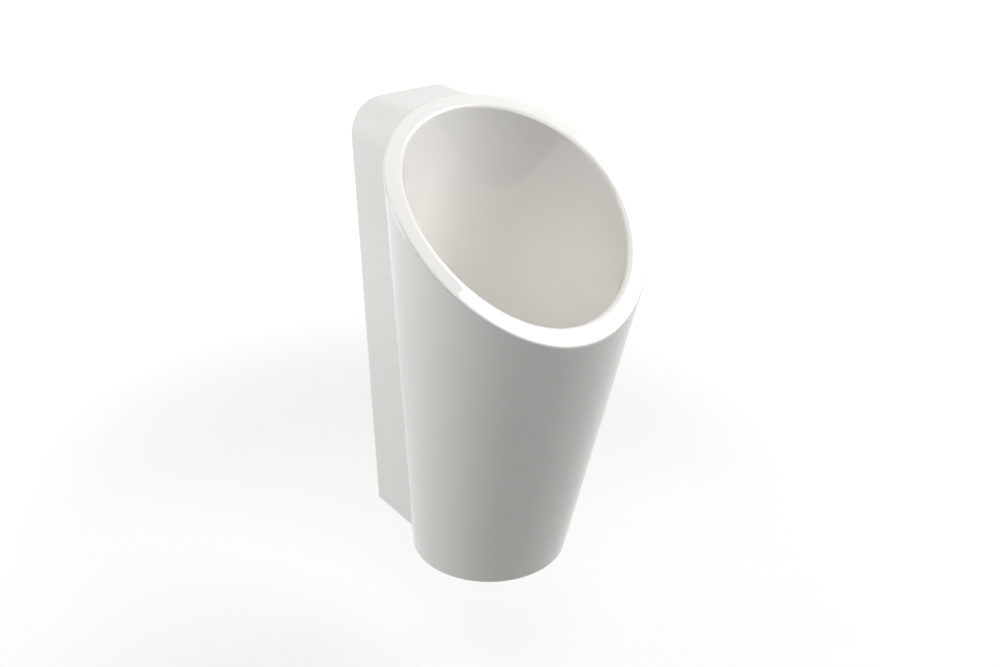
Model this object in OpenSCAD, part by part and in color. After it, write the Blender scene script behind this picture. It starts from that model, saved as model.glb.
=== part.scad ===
// Wall hung urinal of the waterless kind: a round leaning body with a slanted mouth,
// a wall box behind it, and a trap cartridge below the bowl.
// Millimetres. The wall is the plane y = 0, the front looks towards -y, +x is to the right,
// +z is up, and the base of the body is at z = 0.

/* [Round body] */
// Radius of the round body where its axis meets the base
base_r = 105; // [100:1:110]
// Angle between the round body's side and its axis
body_flare_deg = 6.2; // [5.6:0.1:6.8]
// Angle by which the axis leans away from the wall
body_lean_deg = 8.3; // [7.8:0.1:8.8]
// Distance from the wall to the axis at the base
axis_back = 169; // [164:1:174]
// Wall thickness of the outer skin and of the bowl
skin_t = 10; // [8:1:11]

/* [Mouth] */
// Height of the mouth on the axis
mouth_h = 501; // [490:1:510]
// Tilt of the mouth on the axis
mouth_tilt_deg = 38; // [36:1:40]
// Radius of the mouth's arch, seen from the side
mouth_arch_r = 1186; // [1000:10:1400]
// Width of the rim between the round body's side and the bowl
rim_w = 24; // [22:1:27]
// Depth of the solid rim under the mouth
rim_t = 22; // [18:1:26]

/* [Bowl] */
// Height of the middle of the bowl's round floor
bowl_centre_h = 250; // [246:1:256]
// Angle between the bowl's side and the axis
bowl_flare_deg = 8; // [7.6:0.1:8.4]

/* [Wall box] */
// Height of the wall box
box_h = 590; // [582:1:596]
// Width of the wall box at the base
box_foot_w = 146; // [142:1:150]
// Width between the sides of the wall box where they reach its top
box_top_w = 172; // [166:1:178]
// Radius of the two top corners of the wall box
box_corner_r = 44; // [36:1:50]
// Distance from the wall to the front of the wall box, which lies inside the round body
box_depth = 130; // [124:1:136]
// Wall thickness of the wall box
box_wall_t = 11; // [9:1:12]

/* [Outlet] */
// Radius of the hole in the bowl's floor
outlet_hole_r = 49.5; // [49:0.5:51]
// Thickness of the ceramic at the hole
boss_t = 13; // [11:1:15]
// Radius of the thick ring round the hole, seen from below
boss_r = 66; // [64:1:68]
// Height of the waste pipe's axis above the base
waste_h = 50; // [49:1:54]
// Outer radius of the waste pipe
waste_r = 25; // [24:0.5:25]

/* [Trap housing] */
// Outer radius of the housing
housing_r = 47.5; // [47:0.5:48]
// Wall thickness of the housing
housing_wall_t = 3; // [2.5:0.5:3]
// Radius of the housing's flange
flange_r = 58; // [56:1:60]
// Thickness of the flange
flange_t = 5; // [4.5:0.5:6]
// Thickness of the rubber rings above and below the ceramic
ring_seal_t = 2; // [1.5:0.5:3]
// Height of the housing's underside above the base
housing_foot_h = 18; // [14:1:19]
// Radius of the nut under the bowl, over its lugs
nut_r = 61; // [59:1:63]
// Height of the nut under the bowl
nut_h = 13; // [11:1:15]

/* [Cartridge] */
// Depth of the cartridge's cup
cup_h = 82; // [76:1:86]
// Outer radius of the cup
cup_r = 41; // [40.5:0.5:41]
// Wall thickness of the cup, the head and the cage
cup_wall_t = 2; // [1.6:0.2:2.2]
// Radius of the float
float_r = 17; // [16:0.5:17]
// Travel of the float from the cage's floor to its seat
float_travel = 8; // [6:1:9]
// Radius of the valve seat
seat_r = 12; // [11:0.5:13]

/* [Strainer lid] */
// Radius of the lid
lid_r = 47; // [46:0.5:47.5]
// Thickness of the lid at its edge
lid_t = 2.4; // [2:0.2:3]
// Rise of the lid's middle over its edge
lid_dome_h = 3; // [2:0.5:4]
// Width of a drain slot in the lid
slot_w = 3.2; // [2.6:0.2:3.6]
// Number of drain slots
slot_count = 16; // [12:2:18]

/* [Wall fixings] */
// Thickness of the steel plates
plate_t = 3; // [2.5:0.5:3.5]
// Depth of the hanger hooks' upper face below the top of the hollow
hook_drop = 59; // [55:1:69]
// Distance between the middles of the two hooks
hook_pitch = 70; // [64:1:74]
// Distance between the hanger's two wall screws
hanger_screw_pitch = 76; // [70:1:80]
// Radius of the hanger's wall screw holes
hanger_hole_r = 4.25; // [3.5:0.25:4.5]
// Height of the lower anchors' upper face above the rubber sleeve at the wall
anchor_rise = 12; // [10:1:18]
// Radius of the lower anchors' wall screw holes
anchor_hole_r = 3.5; // [3:0.25:4]
// Radius of the clamp bolts
clamp_r = 4; // [3.5:0.25:4]
// Thickness of the rubber pads between steel and ceramic
pad_t = 2; // [1.5:0.5:3]

/* [Hidden] */

// Facets of the big curved faces, of the fittings and of the small round pieces
fine = 192;
mid = 96;
small = 48;
// Overrun of every cut past the face that it opens
over = 1;
// Gap between pieces that move past each other or rest on each other
body_gap = 0.3;
// Gap between a screwed or pushed-in piece and its mate
fit_gap = 0.15;

// Distances along the leaning axis to the mouth and to the middle of the bowl's floor
mouth_s = mouth_h / cos(body_lean_deg);
bowl_s = bowl_centre_h / cos(body_lean_deg);
// Distance along the axis that takes the body and the bowl past the mouth
top_s = mouth_s + outer_r(mouth_s);
// Distance along the axis that takes the body past the base
foot_s = base_r / 2;
// Size of a block that holds the whole object
reach = 2 * box_h;
// Middle of the mouth's arch
mouth_y = -axis_back - mouth_h * tan(body_lean_deg);
arch_y = mouth_y + mouth_arch_r * sin(mouth_tilt_deg);
arch_z = mouth_h - mouth_arch_r * cos(mouth_tilt_deg);

// Slope of the wall box's sides, and the middles of its top corners
box_slope = (box_top_w - box_foot_w) / 2 / box_h;
box_slant = sqrt(1 + pow(box_slope, 2));
corner_z = box_h - box_corner_r;
corner_x = box_foot_w / 2 + box_slope * corner_z - box_corner_r * box_slant;
// Rise of the round corners over the flat sides and top, so that they cross and don't only touch
corner_lap = 0.1;

// Outlet: its axis, the recess for the flange in the bowl's floor, and the levels in it
outlet_y = -axis_back - bowl_centre_h * tan(body_lean_deg);
recess_gap = 1;
recess_r = flange_r + recess_gap;
flange_drop = 1;
recess_z = bowl_centre_h - sqrt(pow(ball_r(0), 2) - pow(recess_r, 2));
top_z = recess_z - flange_drop;
flange_z = top_z - flange_t;
ledge_z = flange_z - ring_seal_t;
boss_z = ledge_z - boss_t;
nut_z = boss_z - ring_seal_t - nut_h;

// Housing: bore, and the recess for the lip of the cartridge's head
housing_bore_r = housing_r - housing_wall_t;
lip_seat_t = 2.4;
lip_recess_r = housing_r + housing_wall_t;
lip_recess_z = flange_z + lip_seat_t;

// Housing nut
nut_lug_count = 8;
nut_lug_r = 4;
nut_core_r = nut_r - nut_lug_r;

// Waste way: pipe, socket and union, as distances from the housing's axis
waste_wall_t = 2.4;
waste_bore_r = waste_r - waste_wall_t;
socket_wall_t = 4.5;
socket_edge_t = 0.6;
socket_depth = 20;
socket_r = waste_r + body_gap;
socket_outer_r = socket_r + socket_wall_t;
socket_stop = housing_r + socket_wall_t;
socket_end = socket_stop + socket_depth;
union_seal_t = 8;
union_taper_t = union_seal_t / 2;
union_lip_t = 3;
union_wall_t = 4;
union_grip = 14;
union_rib_count = 12;
union_rib_r = 2;
union_r = socket_outer_r + union_wall_t;
union_h = union_grip + union_taper_t + union_lip_t;

// Rubber sleeve at the wall: it holds the pipe up to its stop, and the wall's pipe from the other end
sleeve_wall_t = 5;
sleeve_h = 68;
sleeve_wall_gap = 4;
sleeve_stop_t = 3;
sleeve_bead_t = 1.2;
sleeve_bead_w = 5;
stub_depth = 30;
sleeve_r = waste_r + sleeve_wall_t;
sleeve_y = -sleeve_wall_gap - sleeve_h;
stub_y = -sleeve_wall_gap - stub_depth;
pipe_y = outlet_y + socket_stop + body_gap;
pipe_h = stub_y - sleeve_stop_t - pipe_y;

// Clips round the sleeve
clip_w = 9;
clip_t = 1;
clip_inset = 9;
clip_block_w = 14;
clip_block_h = 6;
clip_screw_r = 3;
clip_screw_h = 20;

// Cartridge head: O-rings in grooves, lip, socket for the lid, funnel and throat
ring_r = 1.7;
ring_fit = 0.1;
ring_drop = 8;
ring_pitch = 9;
ring_middle_r = housing_bore_r - ring_fit - ring_r;
groove_r = ring_middle_r - ring_r - ring_fit;
groove_h = 2 * (ring_r + fit_gap);
head_skirt_h = 27;
head_spigot_h = 11;
head_r = housing_bore_r - body_gap;
lip_r = lip_recess_r - body_gap;
lip_z = lip_recess_z + body_gap;
head_top_z = top_z - body_gap;
cup_top_z = lip_z - head_skirt_h;
head_foot_z = cup_top_z - head_spigot_h;
spigot_r = cup_r - cup_wall_t - fit_gap;
lid_socket_r = groove_r - cup_wall_t;
lid_socket_h = 9;
cage_flange_t = 3;
seat_seal_t = 3;
funnel_t = 3;
throat_r = seat_r + cup_wall_t;
seat_z = head_foot_z + cage_flange_t;
seat_seal_r = float_r + cup_wall_t;
funnel_foot_z = seat_z + seat_seal_t + funnel_t;
funnel_top_z = head_top_z - lid_socket_h;

// Float and its cage, from the height of the float's middle when it's shut down to the cage's foot
float_gap = 0.6;
cage_bore_r = float_r + float_gap;
cage_r = cage_bore_r + cup_wall_t;
cage_flange_r = cage_r + cup_wall_t;
cage_window_w = 16;
cage_bar_h = 4;
cage_hole_r = 4;
float_shut_z = seat_z - sqrt(pow(float_r, 2) - pow(seat_r, 2));
float_rest_z = float_shut_z - body_gap - float_travel;
cage_floor_z = float_rest_z - float_r - body_gap;
cage_foot_z = cage_floor_z - cup_wall_t;

// Cup
cup_foot_z = cup_top_z - cup_h;
overflow_count = 8;
overflow_w = 12;
overflow_h = 8;
overflow_drop = 4;

// Strainer lid
lid_skirt_t = 2;
lid_skirt_h = 6;
lid_skirt_r = lid_socket_r - body_gap;
lid_hub_r = 22;
lid_ball_r = (pow(lid_r, 2) + pow(lid_dome_h, 2)) / (2 * lid_dome_h);

// Hanger: rail in the ceramic, hooks and plate. The hollow ends under the top of the wall box,
// or under the solid rim where that is lower
rail_gap = 12;
rail_d = 16;
rail_h = 26;
hook_w = 26;
hook_play = 2;
hook_tip_h = 16;
hook_reach = rail_gap + rail_d + hook_play + plate_t;
hanger_w = 118;
hanger_h = 50;
hanger_hole_drop = 30;
hollow_top_z = min(
    box_h - box_wall_t,
    arch_z + sqrt(pow(mouth_arch_r - rim_t, 2) - pow(arch_y + rail_gap + rail_d, 2))
);
hook_h = hollow_top_z - hook_drop;
rail_z = hook_h + pad_t;

// Lower anchors, lugs in the ceramic and clamps
anchor_w = 21;
anchor_side_gap = 4;
anchor_reach = 40;
anchor_plate_h = 38;
anchor_hole_rise = 26;
anchor_h = waste_h + sleeve_r + sleeve_bead_t + anchor_rise;
anchor_x = box_foot_w / 2 - box_wall_t - anchor_side_gap - anchor_w / 2;
lug_h = 20;
lug_over = 2;
lug_reach = anchor_reach + lug_over;
lug_z = anchor_h + pad_t;
clamp_y = -27;
clamp_gap = 1;
slot_gap = 0.5;
washer_r = 8;
washer_t = 1.6;
bolt_head_r = 7.5;
bolt_head_h = 5.3;
bolt_over_h = 4;
square_nut_w = 20;
square_nut_t = 6;
bolt_seat_z = anchor_h - plate_t - washer_t;
square_nut_z = lug_z + lug_h;

// Colours as the photograph shows the glaze, and as such fittings have them
glaze = "#f1f0ec";
rubber = "#2c2d2e";
grey_plastic = "#8d9194";
white_plastic = "#dcdedd";
clear_plastic = "#cfd8da";
float_plastic = "#d8d2bf";
steel = "#b9bcbd";

// Radius of the round body at a distance along its axis
function outer_r(s) = base_r + s * tan(body_flare_deg);
// Radius of the bowl at a distance along the axis
function bowl_r(s) = outer_r(mouth_s) - rim_w + (s - mouth_s) * tan(bowl_flare_deg);
// Radius of the ball that rounds the bowl's floor, grown by a wall thickness
function ball_r(grow) = (bowl_r(bowl_s) + grow) * cos(bowl_flare_deg);
// Height of the funnel's upper face at a radius
function funnel_z(r) = funnel_foot_z + (r - throat_r) * (funnel_top_z - funnel_foot_z) / (lid_socket_r - throat_r);

// Puts a shape made along +z on the leaning axis
module on_axis() {
    translate([0, -axis_back, 0]) rotate([body_lean_deg, 0, 0]) children();
}

// Puts a shape made along +z on the outlet's upright axis, at a height
module on_outlet(z) {
    translate([0, outlet_y, z]) children();
}

// Puts a shape made along +z on the waste pipe's axis, from a place and towards the wall
module on_waste(y) {
    translate([0, y, waste_h]) rotate([-90, 0, 0]) children();
}

// Flat ring with a square section
module ring(inner, outer, height, facets) {
    difference() {
        cylinder(h = height, r = outer, $fn = facets);
        translate([0, 0, -over]) cylinder(h = height + 2 * over, r = inner, $fn = facets);
    }
}

// Round body, drawn in by an inset
module round_body(inset) {
    on_axis() translate([0, 0, -foot_s])
        cylinder(h = foot_s + top_s, r1 = outer_r(-foot_s) - inset, r2 = outer_r(top_s) - inset, $fn = fine);
}

// Bowl, grown by a wall thickness
module bowl_form(grow) {
    tangent_s = bowl_s - ball_r(grow) * sin(bowl_flare_deg);
    on_axis() {
        translate([0, 0, bowl_s]) sphere(r = ball_r(grow), $fn = fine);
        translate([0, 0, tangent_s])
            cylinder(h = top_s - tangent_s, r1 = bowl_r(tangent_s) + grow, r2 = bowl_r(top_s) + grow, $fn = fine);
    }
}

// Everything below the arched mouth, lowered by a depth
module under_mouth(depth) {
    translate([0, arch_y, arch_z]) rotate([0, 90, 0])
        cylinder(h = reach, r = mouth_arch_r - depth, center = true, $fn = 2 * fine);
}

// Wall box with its top corners cut off, drawn in by an inset and run past the wall and the base
module box_slab(inset, past) {
    r = box_corner_r - inset;
    foot = box_foot_w / 2 - inset * box_slant - past * box_slope;
    side = [corner_x + r / box_slant, corner_z - r * box_slope / box_slant];
    translate([0, past, 0]) rotate([90, 0, 0]) linear_extrude(height = box_depth + past)
        polygon([
            [-foot, -past], [foot, -past], side, [corner_x, corner_z + r],
            [-corner_x, corner_z + r], [-side[0], side[1]]
        ]);
}

// Round top corners of the wall box
module box_corners(inset, past) {
    for (side = [-1, 1]) translate([side * corner_x, past, corner_z]) rotate([90, 0, 0])
        cylinder(h = box_depth + past, r = box_corner_r - inset + corner_lap, $fn = mid);
}

// Round body and wall box in one, drawn in by their walls
module body_form(round_inset, box_inset, past) {
    union() {
        union() {
            round_body(round_inset);
            box_slab(box_inset, past);
        }
        box_corners(box_inset, past);
    }
}

// Crossbar that hangs on the hooks
module rail() {
    translate([-box_foot_w, -rail_gap - rail_d, rail_z]) cube([2 * box_foot_w, rail_d, rail_h]);
}

// Lugs that are clamped to the lower anchors
module lugs() {
    for (side = [0, 1]) mirror([side, 0, 0]) translate([anchor_x - anchor_w / 2, -lug_reach, lug_z])
        cube([box_foot_w, lug_reach - rail_gap, lug_h]);
}

// Hollow behind and below the bowl, open to the wall and to the base
module body_hollow() {
    difference() {
        intersection() {
            body_form(skin_t, box_wall_t, over);
            under_mouth(rim_t);
        }
        bowl_form(skin_t);
        on_outlet(boss_z) cylinder(h = bowl_centre_h - boss_z, r = boss_r, $fn = mid);
        rail();
        lugs();
    }
}

// Puts a shape on each of the two clamp bolts' axes, at a height
module at_clamps(z) {
    for (side = [-1, 1]) translate([side * anchor_x, clamp_y, z]) children();
}

module ceramic_body() {
    color(glaze) difference() {
        intersection() {
            body_form(0, 0, 0);
            under_mouth(0);
            translate([-reach / 2, -reach, 0]) cube([reach, reach, reach]);
        }
        body_hollow();
        bowl_form(0);
        on_outlet(housing_foot_h) cylinder(h = ledge_z + over - housing_foot_h, r = outlet_hole_r, $fn = mid);
        on_outlet(ledge_z) cylinder(h = bowl_centre_h - ledge_z, r = recess_r, $fn = mid);
        at_clamps(lug_z - over) cylinder(h = lug_h + 2 * over, r = clamp_r + clamp_gap, $fn = small);
    }
}

module flange_seal() {
    color(rubber) on_outlet(ledge_z) ring(outlet_hole_r, flange_r, ring_seal_t, mid);
}

module underside_seal() {
    color(rubber) on_outlet(boss_z - ring_seal_t) ring(housing_r + fit_gap, nut_core_r, ring_seal_t, mid);
}

module housing_nut() {
    color(white_plastic) on_outlet(nut_z) difference() {
        union() {
            cylinder(h = nut_h, r = nut_core_r, $fn = mid);
            for (i = [0 : nut_lug_count - 1]) rotate([0, 0, i * 360 / nut_lug_count])
                translate([nut_core_r, 0, 0]) cylinder(h = nut_h, r = nut_lug_r, $fn = small);
        }
        translate([0, 0, -over]) cylinder(h = nut_h + 2 * over, r = housing_r + fit_gap, $fn = mid);
    }
}

module trap_housing() {
    color(grey_plastic) difference() {
        union() {
            on_outlet(housing_foot_h) cylinder(h = flange_z - housing_foot_h, r = housing_r, $fn = mid);
            on_outlet(flange_z) cylinder(h = flange_t, r = flange_r, $fn = mid);
            on_waste(outlet_y) cylinder(h = socket_end, r = socket_outer_r, $fn = mid);
        }
        on_outlet(housing_foot_h + housing_wall_t)
            cylinder(h = top_z - housing_foot_h, r = housing_bore_r, $fn = mid);
        on_outlet(lip_recess_z) cylinder(h = flange_t, r = lip_recess_r, $fn = mid);
        on_waste(outlet_y) cylinder(h = socket_end + over, r = waste_bore_r, $fn = mid);
        on_waste(outlet_y + socket_stop) cylinder(h = socket_depth + over, r = socket_r, $fn = mid);
        on_waste(outlet_y + socket_end - union_taper_t)
            cylinder(h = union_taper_t, r1 = socket_r, r2 = socket_outer_r - socket_edge_t, $fn = mid);
    }
}

// Overflow windows, spread round the cup
module overflow_windows() {
    for (i = [0 : overflow_count / 2 - 1]) rotate([0, 0, i * 360 / overflow_count])
        translate([-2 * cup_r, -overflow_w / 2, head_foot_z - overflow_drop - overflow_h])
        cube([4 * cup_r, overflow_w, overflow_h]);
}

module cartridge_cup() {
    color(clear_plastic) on_outlet(0) difference() {
        translate([0, 0, cup_foot_z]) cylinder(h = cup_h, r = cup_r, $fn = mid);
        translate([0, 0, cup_foot_z + cup_wall_t]) cylinder(h = cup_h, r = cup_r - cup_wall_t, $fn = mid);
        overflow_windows();
    }
}

// Half section of the head's solid, from the spigot up to the lip and down the funnel
module head_outline() {
    polygon([
        [throat_r, head_foot_z], [spigot_r, head_foot_z], [spigot_r, cup_top_z], [head_r, cup_top_z],
        [head_r, lip_z], [lip_r, lip_z], [lip_r, head_top_z], [lid_socket_r, head_top_z],
        [lid_socket_r, funnel_top_z], [throat_r, funnel_foot_z]
    ]);
}

// Half section of the ring-shaped space below the funnel
module head_space() {
    inner = cage_flange_r + fit_gap + cup_wall_t;
    outer = spigot_r - cup_wall_t;
    polygon([
        [inner, head_foot_z - over], [outer, head_foot_z - over],
        [outer, funnel_z(outer) - funnel_t], [inner, funnel_z(inner) - funnel_t]
    ]);
}

module cartridge_head() {
    color(white_plastic) on_outlet(0) rotate_extrude($fn = mid) difference() {
        head_outline();
        head_space();
        for (i = [0, 1]) translate([groove_r, lip_z - ring_drop - i * ring_pitch - groove_h / 2])
            square([2 * ring_r + over, groove_h]);
        translate([0, seat_z]) square([seat_seal_r, seat_seal_t]);
        translate([0, head_foot_z - over]) square([cage_flange_r + fit_gap, cage_flange_t + over]);
    }
}

module head_seals() {
    color(rubber) on_outlet(lip_z - ring_drop) for (i = [0, 1]) translate([0, 0, -i * ring_pitch])
        rotate_extrude($fn = mid) translate([ring_middle_r, 0]) circle(r = ring_r, $fn = small);
}

module seat_seal() {
    color(rubber) on_outlet(seat_z) ring(seat_r, seat_seal_r, seat_seal_t, mid);
}

module float_cage() {
    window_z = cage_floor_z + cage_bar_h;
    color(white_plastic) on_outlet(0) difference() {
        union() {
            translate([0, 0, cage_foot_z]) cylinder(h = head_foot_z - cage_foot_z, r = cage_r, $fn = mid);
            translate([0, 0, head_foot_z]) cylinder(h = cage_flange_t, r = cage_flange_r, $fn = mid);
        }
        translate([0, 0, cage_floor_z])
            cylinder(h = seat_z - cage_floor_z + over, r = cage_bore_r, $fn = mid);
        for (turn = [0, 90]) rotate([0, 0, turn]) translate([-cage_flange_r, -cage_window_w / 2, window_z])
            cube([2 * cage_flange_r, cage_window_w, head_foot_z - cage_bar_h - window_z]);
        translate([0, 0, cage_foot_z - over]) cylinder(h = cup_wall_t + 2 * over, r = cage_hole_r, $fn = small);
    }
}

module float_ball() {
    color(float_plastic) on_outlet(float_rest_z) sphere(r = float_r, $fn = mid);
}

module strainer_lid() {
    color(steel) on_outlet(top_z) difference() {
        union() {
            cylinder(h = lid_t, r = lid_r, $fn = mid);
            intersection() {
                translate([0, 0, lid_t + lid_dome_h - lid_ball_r]) sphere(r = lid_ball_r, $fn = 2 * fine);
                cylinder(h = lid_t + 2 * lid_dome_h, r = lid_r, $fn = mid);
            }
            translate([0, 0, -lid_skirt_h])
                ring(lid_skirt_r - lid_skirt_t, lid_skirt_r, lid_skirt_h + lid_t / 2, mid);
        }
        for (i = [0 : slot_count - 1]) rotate([0, 0, i * 360 / slot_count])
            translate([lid_hub_r, -slot_w / 2, -lid_skirt_h - over])
            cube([lid_r, slot_w, lid_skirt_h + lid_t + lid_dome_h + 2 * over]);
    }
}

module union_nut() {
    color(grey_plastic) on_waste(outlet_y + socket_end - union_grip) difference() {
        union() {
            cylinder(h = union_h, r = union_r, $fn = mid);
            for (i = [0 : union_rib_count - 1]) rotate([0, 0, i * 360 / union_rib_count])
                translate([union_r, 0, 0]) cylinder(h = union_grip, r = union_rib_r, $fn = small);
        }
        translate([0, 0, -over])
            cylinder(h = union_grip + union_taper_t + over, r = socket_outer_r + fit_gap, $fn = mid);
        translate([0, 0, -over]) cylinder(h = union_h + 2 * over, r = waste_r + body_gap, $fn = mid);
    }
}

module union_seal() {
    outer = socket_outer_r - socket_edge_t - fit_gap;
    color(rubber) on_waste(outlet_y + socket_end - union_taper_t) rotate_extrude($fn = mid)
        polygon([
            [waste_r, 0], [socket_r - fit_gap, 0], [outer, union_taper_t], [outer, union_seal_t],
            [waste_r, union_seal_t]
        ]);
}

module outlet_pipe() {
    color(white_plastic) on_waste(pipe_y) ring(waste_bore_r, waste_r, pipe_h, mid);
}

module wall_connector() {
    color(rubber) difference() {
        union() {
            on_waste(sleeve_y) cylinder(h = sleeve_h, r = sleeve_r, $fn = mid);
            for (y = [sleeve_y, -sleeve_wall_gap - sleeve_bead_w])
                on_waste(y) cylinder(h = sleeve_bead_w, r = sleeve_r + sleeve_bead_t, $fn = mid);
        }
        on_waste(sleeve_y - over)
            cylinder(h = sleeve_h - stub_depth - sleeve_stop_t + over, r = waste_r, $fn = mid);
        on_waste(sleeve_y) cylinder(h = sleeve_h, r = waste_bore_r, $fn = mid);
        on_waste(stub_y) cylinder(h = stub_depth + over, r = waste_r, $fn = mid);
    }
}

// One band clip with its worm screw, made along +z
module clip() {
    difference() {
        union() {
            cylinder(h = clip_w, r = sleeve_r + clip_t, $fn = mid);
            translate([-clip_block_w / 2, -sleeve_r - clip_t - clip_block_h, 0])
                cube([clip_block_w, clip_block_h + clip_t, clip_w]);
            translate([-clip_screw_h / 2, -sleeve_r - clip_t - clip_screw_r, clip_w / 2]) rotate([0, 90, 0])
                cylinder(h = clip_screw_h, r = clip_screw_r, $fn = small);
        }
        translate([0, 0, -over]) cylinder(h = clip_w + 2 * over, r = sleeve_r, $fn = mid);
    }
}

module connector_clips() {
    color(steel) for (y = [sleeve_y + clip_inset, -sleeve_wall_gap - clip_inset - clip_w]) on_waste(y) clip();
}

// One hook, with its tip turned up in front of the rail
module hook() {
    translate([-hook_w / 2, -hook_reach, hook_h - plate_t]) {
        cube([hook_w, hook_reach, plate_t]);
        cube([hook_w, plate_t, plate_t + hook_tip_h]);
    }
}

module hanger_bracket() {
    color(steel) difference() {
        union() {
            translate([-hanger_w / 2, -plate_t, hook_h - hanger_h]) cube([hanger_w, plate_t, hanger_h]);
            for (side = [-1, 1]) translate([side * hook_pitch / 2, 0, 0]) hook();
        }
        for (side = [-1, 1])
            translate([side * hanger_screw_pitch / 2, over, hook_h - hanger_hole_drop]) rotate([90, 0, 0])
            cylinder(h = plate_t + 2 * over, r = hanger_hole_r, $fn = small);
    }
}

module hanger_pads() {
    color(rubber) for (side = [-1, 1])
        translate([side * hook_pitch / 2 - hook_w / 2, -rail_gap - rail_d, hook_h]) cube([hook_w, rail_d, pad_t]);
}

module lower_anchors() {
    color(steel) for (side = [-1, 1]) translate([side * anchor_x, 0, 0]) difference() {
        union() {
            translate([-anchor_w / 2, -plate_t, anchor_h - plate_t]) cube([anchor_w, plate_t, anchor_plate_h]);
            translate([-anchor_w / 2, -anchor_reach, anchor_h - plate_t]) cube([anchor_w, anchor_reach, plate_t]);
        }
        translate([0, over, anchor_h + anchor_hole_rise]) rotate([90, 0, 0])
            cylinder(h = plate_t + 2 * over, r = anchor_hole_r, $fn = small);
        translate([0, clamp_y, anchor_h - plate_t - over])
            cylinder(h = plate_t + 2 * over, r = clamp_r + slot_gap, $fn = small);
    }
}

module anchor_pads() {
    color(rubber) for (side = [-1, 1]) translate([side * anchor_x, 0, 0]) difference() {
        translate([-anchor_w / 2, -anchor_reach, anchor_h]) cube([anchor_w, anchor_reach - rail_gap, pad_t]);
        translate([0, clamp_y, anchor_h - over])
            cylinder(h = pad_t + 2 * over, r = clamp_r + slot_gap, $fn = small);
    }
}

module clamp_bolts() {
    color(steel) at_clamps(bolt_seat_z) {
        translate([0, 0, -bolt_head_h]) cylinder(h = bolt_head_h, r = bolt_head_r, $fn = 6);
        cylinder(h = square_nut_z + square_nut_t + bolt_over_h - bolt_seat_z, r = clamp_r, $fn = small);
    }
}

module clamp_washers() {
    color(steel) at_clamps(bolt_seat_z) ring(clamp_r + fit_gap, washer_r, washer_t, small);
}

module clamp_nuts() {
    color(steel) at_clamps(square_nut_z) difference() {
        translate([-square_nut_w / 2, -square_nut_w / 2, 0]) cube([square_nut_w, square_nut_w, square_nut_t]);
        translate([0, 0, -over]) cylinder(h = square_nut_t + 2 * over, r = clamp_r + fit_gap, $fn = small);
    }
}

ceramic_body();
flange_seal();
underside_seal();
housing_nut();
trap_housing();
cartridge_cup();
cartridge_head();
head_seals();
seat_seal();
float_cage();
float_ball();
strainer_lid();
union_nut();
union_seal();
outlet_pipe();
wall_connector();
connector_clips();
hanger_bracket();
hanger_pads();
lower_anchors();
anchor_pads();
clamp_bolts();
clamp_washers();
clamp_nuts();
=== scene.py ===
"""Looks of a wall hung waterless urinal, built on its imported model.

Metres in the model's own frame: the wall is the plane y = 0, the front looks towards -y,
+x is to the right, +z is up, and the base of the body is at z = 0.
"""
import math

import bmesh
import bpy
from bpy.props import FloatProperty, FloatVectorProperty, PointerProperty
from bpy.types import Operator, Panel, PropertyGroup
from mathutils import Matrix, Vector


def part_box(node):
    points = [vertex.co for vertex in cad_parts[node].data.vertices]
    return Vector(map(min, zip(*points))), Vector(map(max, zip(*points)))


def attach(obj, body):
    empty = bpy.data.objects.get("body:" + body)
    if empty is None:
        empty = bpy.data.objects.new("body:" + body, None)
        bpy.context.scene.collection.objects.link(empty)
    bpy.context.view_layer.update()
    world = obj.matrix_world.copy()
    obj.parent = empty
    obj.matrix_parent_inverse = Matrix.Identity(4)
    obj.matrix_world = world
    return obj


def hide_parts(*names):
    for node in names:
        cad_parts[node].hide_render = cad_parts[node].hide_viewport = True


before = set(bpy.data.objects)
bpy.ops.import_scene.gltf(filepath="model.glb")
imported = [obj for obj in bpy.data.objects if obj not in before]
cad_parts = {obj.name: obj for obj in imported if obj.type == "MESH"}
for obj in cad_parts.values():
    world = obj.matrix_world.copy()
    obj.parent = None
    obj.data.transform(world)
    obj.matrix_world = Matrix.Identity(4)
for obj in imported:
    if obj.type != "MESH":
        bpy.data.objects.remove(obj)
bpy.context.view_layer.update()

bl_info = {
    "name": "Wall hung urinal",
    "version": (1, 0, 0),
    "blender": (4, 5, 0),
    "location": "View3D > Sidebar > Urinal",
    "description": "Builds the looks of a wall hung urinal on its packed model",
    "category": "Object",
}

# One millimetre in metres
MM = 0.001
# Points closer together than this are one point
WELD = 0.001 * MM
# Cutters reach this far past what they cut, and the wall box stops this far short of the rim and the lip
CLEAR = 1 * MM
# Faces that meet at more than this make a sharp edge, and at less than this one flat face
SHARP = math.radians(32)
FLAT = math.radians(0.1)
# Facets round the body, round what is small, and round the huge cylinder whose top is the mouth's arch
FINE, SMALL, ARCH = 256, 64, 768
# Steps of the body's roundings: at the foot, the rim, the lip and the wall box's corners
FOOT_STEPS, RIM_STEPS, LIP_STEPS, CORNER_STEPS = 3, 8, 10, 32
# Points between them on the body's side, across the rim and down the bowl's side
SIDE_POINTS, RIM_POINTS, BOWL_POINTS = 15, 5, 12
# Steps of the bowl's round floor, in the glazed body and in the solids that cut it
FLOOR_STEPS, CUTTER_STEPS = 14, 24
# Rounds in which a side's height closes in on the mouth's
MEET_ROUNDS = 30
# Numbers of the two colour inputs and of the colour output of a Mix node, whose names aren't unique
MIX_A, MIX_B, MIX_COLOUR = 6, 7, 2
# Most values of a noise lie between these
NOISE_LOW, NOISE_HIGH = 0.3, 0.7
WHITE = (1, 1, 1, 1)

# Real sizes of the patterns in the finishes
GLAZE_POOL = 90 * MM
GLAZE_RIPPLE = 22 * MM
GLAZE_RIPPLE_DEPTH = 0.05 * MM
BISQUE_PATCH = 40 * MM
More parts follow.
